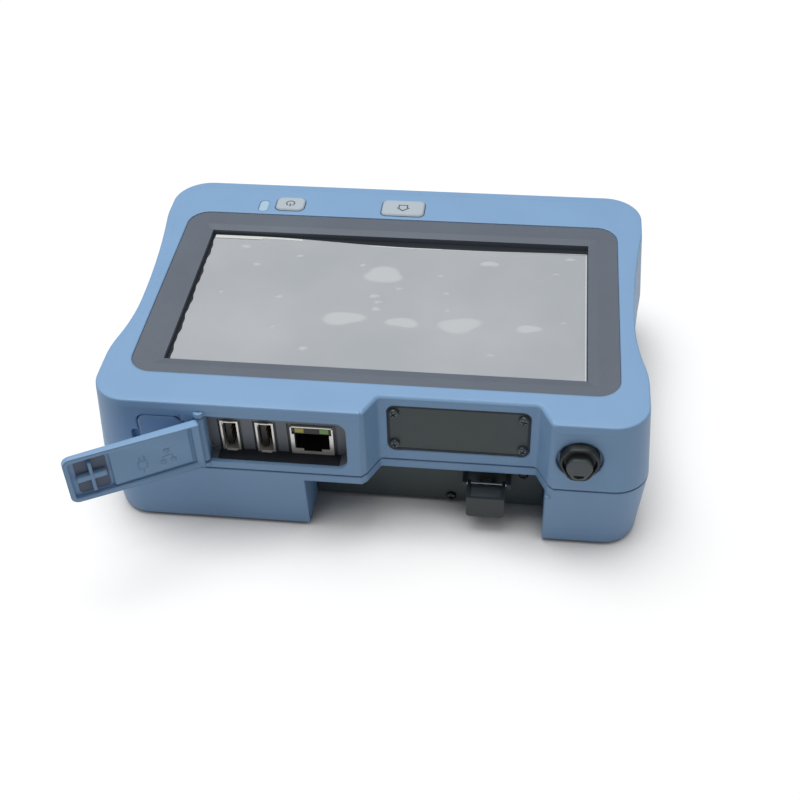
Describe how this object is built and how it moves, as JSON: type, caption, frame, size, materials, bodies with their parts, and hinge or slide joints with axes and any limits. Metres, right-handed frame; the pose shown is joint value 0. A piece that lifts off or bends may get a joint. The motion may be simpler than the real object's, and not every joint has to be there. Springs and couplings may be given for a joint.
{
  "type": "optical time domain reflectometer",
  "caption": "Handheld fibre tester with a wide touch display, waisted two-part case, hinged port cover, stylus, capped optical port and fold-out stand.",
  "frame": {"origin": "middle of the bounding box, seen from above, on the surface that the unit's rubber feet rest on; the unit lies on its back with the port flap standing open", "axes": "+X across the display, towards the stylus end of the connector wall; +Y from the connector wall towards the edge with the keys; +Z out of the display"},
  "size_m": [0.2015, 0.1695, 0.0619],
  "materials": {
    "shell_blue": "satin",
    "base_blue": "satin",
    "soft_black": "matte",
    "bezel_black": "satin",
    "screen_glass": "gloss",
    "screen_grey": "gloss",
    "key_grey": "satin",
    "lamp_grey": "satin",
    "panel_black": "satin",
    "port_steel": "satin",
    "tongue_black": "satin",
    "contact_gold": "polished",
    "lamp_amber": "gloss",
    "stylus_black": "satin",
    "tip_grey": "satin",
    "tube_grey": "matte",
    "cap_black": "satin",
    "pin_steel": "polished",
    "screw_black": "satin",
    "screw_steel": "satin",
    "adapter_metal": "satin",
    "ceramic_white": "gloss",
    "chassis_metal": "satin",
    "board_green": "satin",
    "battery_grey": "matte",
    "fibre_yellow": "gloss"
  },
  "bodies": {
    "housing": {"front_shell": "shell_blue", "rear_shell": "base_blue", "housing_seal": "soft_black", "display_bezel": "bezel_black", "touch_panel": "screen_glass", "screen_film": "screen_grey", "display_gasket": "soft_black", "lcd_module": "chassis_metal", "status_lamp": "lamp_grey", "keypad_board": "board_green", "port_panel": "panel_black", "usb_shell_left": "port_steel", "usb_shell_right": "port_steel", "usb_tongue_left": "tongue_black", "usb_tongue_right": "tongue_black", "ethernet_shield": "port_steel", "ethernet_body": "tongue_black", "link_lamps": "lamp_amber", "ethernet_contacts": "contact_gold", "flap_hinge_pin": "pin_steel", "dc_cover_pin": "pin_steel", "dc_jack": "tongue_black", "option_plate": "panel_black", "stylus_tube": "tube_grey", "optical_port_plate": "panel_black", "fibre_adapter": "adapter_metal", "ceramic_sleeve": "ceramic_white", "dust_cap_pin": "pin_steel", "chassis_frame": "chassis_metal", "main_board": "board_green", "battery_pack": "battery_grey", "battery_door": "base_blue", "optical_module": "chassis_metal", "fibre_tray": "tube_grey", "fibre_coil": "fibre_yellow", "stand_pins": "pin_steel", "rubber_feet": "soft_black", "case_screws": "screw_black", "display_screws": "screw_steel", "keypad_screws": "screw_steel", "board_screws": "screw_steel", "chassis_screws": "screw_steel", "option_plate_screws": "screw_black", "battery_door_screws": "screw_black", "optical_port_screws": "screw_black"},
    "port_flap": {"port_flap": "shell_blue"},
    "dc_cover": {"dc_cover": "shell_blue"},
    "power_button": {"power_button": "key_grey"},
    "home_button": {"home_button": "key_grey"},
    "stylus": {"stylus_head": "stylus_black", "stylus_barrel": "stylus_black", "stylus_tip": "tip_grey"},
    "dust_cap": {"dust_cap": "cap_black"},
    "tilt_stand": {"tilt_stand": "base_blue"}
  },
  "joints": [
    {"name": "port_flap_hinge", "type": "hinge", "parent": "housing", "child": "port_flap", "pos_m": [-0.0583, -0.0568, 0.045], "axis": [0, 0, 1], "range_deg": [0, 150.67]},
    {"name": "dc_cover_hinge", "type": "hinge", "parent": "housing", "child": "dc_cover", "pos_m": [-0.0649, -0.05625, 0.048], "axis": [0, 0, 1], "range_deg": [0, 30]},
    {"name": "power_button_press", "type": "slide", "parent": "housing", "child": "power_button", "axis": [0, 0, -1], "range_m": [0, 0.0006], "stiffness_N_per_m": 1500},
    {"name": "home_button_press", "type": "slide", "parent": "housing", "child": "home_button", "axis": [0, 0, -1], "range_m": [0, 0.0006], "stiffness_N_per_m": 1500},
    {"name": "stylus_draw", "type": "slide", "parent": "housing", "child": "stylus", "axis": [0, -1, 0], "range_m": [0, 0.11]},
    {"name": "dust_cap_hinge", "type": "hinge", "parent": "housing", "child": "dust_cap", "pos_m": [0.0426, -0.0438, 0.017], "axis": [-1, 0, 0], "range_deg": [0, 90]},
    {"name": "tilt_stand_hinge", "type": "hinge", "parent": "housing", "child": "tilt_stand", "pos_m": [0, 0.0334, 0.0031], "axis": [-1, 0, 0], "range_deg": [0, 60]}
  ]
}
